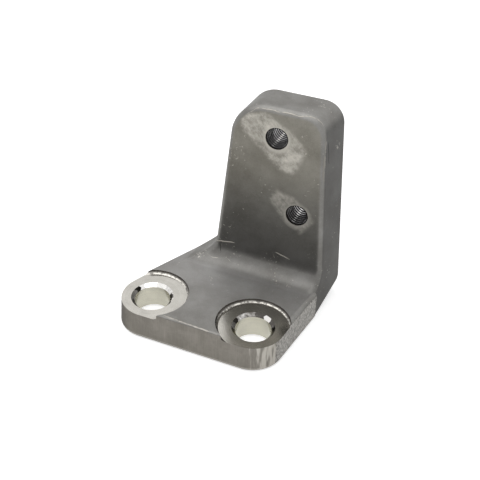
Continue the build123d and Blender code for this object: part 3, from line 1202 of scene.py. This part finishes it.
@dataclass(frozen=True)
class Studio:
    """The plain pale floor, the soft lights and the camera at the photograph's angle."""

    camera_place: tuple = (116.05 * MM, -240.35 * MM, 248.64 * MM)
    azimuth: float = math.radians(22.54)
    elevation: float = math.radians(36.77)
    roll: float = math.radians(1.33)
    frame_width: float = 480.0
    focal_pixels: float = 860.46
    sensor: float = 36.0
    clip_start: float = 0.01
    clip_end: float = 100.0
    floor_half: float = 3.0
    fill: str = "#6e6e6e"
    paper: str = "#f4f4f4"
    aim: tuple = (0, 0.02, 0.03)
    # Each lamp's name, place, side in metres and power in watts.
    lamps: tuple = (
        ("top_lamp", (-0.05, 0.0, 1.04), 1.8, 11.5),
        ("left_lamp", (-0.50, -0.1, 0.88), 0.9, 2.0),
        ("right_lamp", (0.62, 0.60, 0.50), 0.9, 0.6),
    )

    def camera(self) -> None:
        """Sets up the camera: it looks along the azimuth and elevation, then is rolled."""
        back = np.array([
            math.sin(self.azimuth) * math.cos(self.elevation),
            -math.cos(self.azimuth) * math.cos(self.elevation),
            math.sin(self.elevation),
        ])
        lens = bpy.data.cameras.new("camera")
        lens.sensor_width = self.sensor
        lens.lens = self.focal_pixels / self.frame_width * self.sensor
        lens.clip_start = self.clip_start
        lens.clip_end = self.clip_end
        camera = bpy.data.objects.new("camera", lens)
        camera.matrix_world = self.pose(back, self.camera_place, self.roll)
        bpy.context.scene.collection.objects.link(camera)
        bpy.context.scene.camera = camera

    def pose(self, back: np.ndarray, place: tuple, roll: float = 0.0) -> Matrix:
        """Stands a camera or lamp level, facing away from back, and then rolls it.

        Args:
            back: the direction behind it.
            place: where it stands, in metres.
            roll: turn to its left, in radians.

        Returns:
            Its matrix.
        """
        back = back / np.linalg.norm(back)
        side = np.cross((0, 0, 1), back)
        side /= np.linalg.norm(side)
        up = np.cross(back, side)
        columns = np.eye(4)
        columns[:3, 0] = side * math.cos(roll) + up * math.sin(roll)
        columns[:3, 1] = up * math.cos(roll) - side * math.sin(roll)
        columns[:3, 2] = back
        columns[:3, 3] = place
        return Matrix(columns.tolist())

    def light(self) -> None:
        """Adds the soft square lamps, all of which face the bracket."""
        for name, place, size, power in self.lamps:
            lamp = bpy.data.lights.new(name, "AREA")
            lamp.size = size
            lamp.energy = power
            made = bpy.data.objects.new(name, lamp)
            made.matrix_world = self.pose(np.subtract(place, self.aim), place)
            bpy.context.scene.collection.objects.link(made)

    def seen_white(self, graph: Graph) -> Node:
        """1 for rays from the camera, off metal and through glass, 0 for diffuse light."""
        path = graph.add("LightPath", {})
        seen = graph.add("Math", {
            0: path.outputs["Is Camera Ray"], 1: path.outputs["Is Glossy Ray"],
        }, operation="MAXIMUM")
        return graph.add("Math", {0: seen, 1: path.outputs["Is Transmission Ray"]}, operation="MAXIMUM")

    def world(self) -> None:
        """White for what the camera sees, and a softer grey as fill light."""
        world = bpy.data.worlds.new("studio")
        bpy.context.scene.world = world
        graph = Graph(world)
        tone = graph.add("Mix", {
            "Factor": self.seen_white(graph), 6: linear(self.fill), 7: linear("#ffffff"),
        }, **COLOUR)
        back = graph.add("Background", {"Color": tone, "Strength": 1.0})
        graph.add("OutputWorld", {"Surface": back})

    def floor(self) -> None:
        """A pale floor, with light of its own where it is seen, more of it far from the object."""
        half = self.floor_half
        corners = np.array([(-half, -half, 0), (half, -half, 0), (half, half, 0), (-half, half, 0)])
        floor = new_object("floor", mesh_from("floor", corners, [np.array([[0, 1, 2, 3]])]))
        paint = bpy.data.materials.new("pale_floor")
        graph = Graph(paint)
        place = graph.add("TexCoord", {})
        away = graph.add("VectorMath", {0: place.outputs["Object"]}, operation="LENGTH")
        fade = graph.add("MapRange", {
            "Value": away, "From Min": 0.15, "From Max": 1.0, "To Min": 0.55, "To Max": 0.95,
        })
        glow = graph.add("Math", {0: self.seen_white(graph), 1: fade}, operation="MULTIPLY")
        shader = graph.add("BsdfPrincipled", {
            "Base Color": linear(self.paper), "Roughness": 0.9, "Specular IOR Level": 0.0,
            "Emission Color": linear("#ffffff"), "Emission Strength": glow,
        })
        graph.add("OutputMaterial", {"Surface": shader})
        floor.data.materials.append(paint)

    def build(self) -> None:
        """Sets up the whole studio."""
        bpy.context.scene.view_settings.view_transform = "Standard"
        self.world()
        self.floor()
        self.light()
        self.camera()


def make_finishes() -> dict:
    """The material of each zone."""
    return {
        Zone.SKIN: ForgedSkin("forged_skin", "#7f7d78", 0.5, 0.55, "#b8b8b8").material(),
        Zone.GROUND: GroundWall("ground_wall", "#77736c", 0.4, 0.7, "#8f8f8f").material(),
        Zone.SHEARED: ShearedWall("sheared_wall", "#827f79", 0.36, 0.7).material(),
        Zone.SEAT: TurnedSteel("turned_seat", "#cac7c0", 0.16).material(),
        Zone.SEAT_WALL: SeatWall("seat_wall", "#b3b0aa", 0.22, dull_share=0.8).material(),
        Zone.BORE: TurnedSteel("bored_wall", "#bab8ab", 0.2).material(),
        Zone.CHAMFER: CutChamfer("cut_chamfer", "#eceae7", 0.14).material(),
        Zone.THREAD: CutThread("cut_thread", "#a3a2a3", 0.14).material(),
        Zone.BASE: MilledBase("milled_base", "#a3a09a", 0.35).material(),
    }


def main() -> None:
    """Builds the pieces in order and reports each one."""
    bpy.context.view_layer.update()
    finishes = make_finishes()
    body = ForgedBody().build(finishes)
    dressings = {finish: finish.material() for finish in (PALE_BURR_AND_HIGHLIGHT, SMEAR_AND_HIGHLIGHT, CREASE_SHADE)}
    for burr in BURRS:
        burr.build(body, dressings[burr.finish])
    Studio().build()


if __name__ == "__main__":
    main()
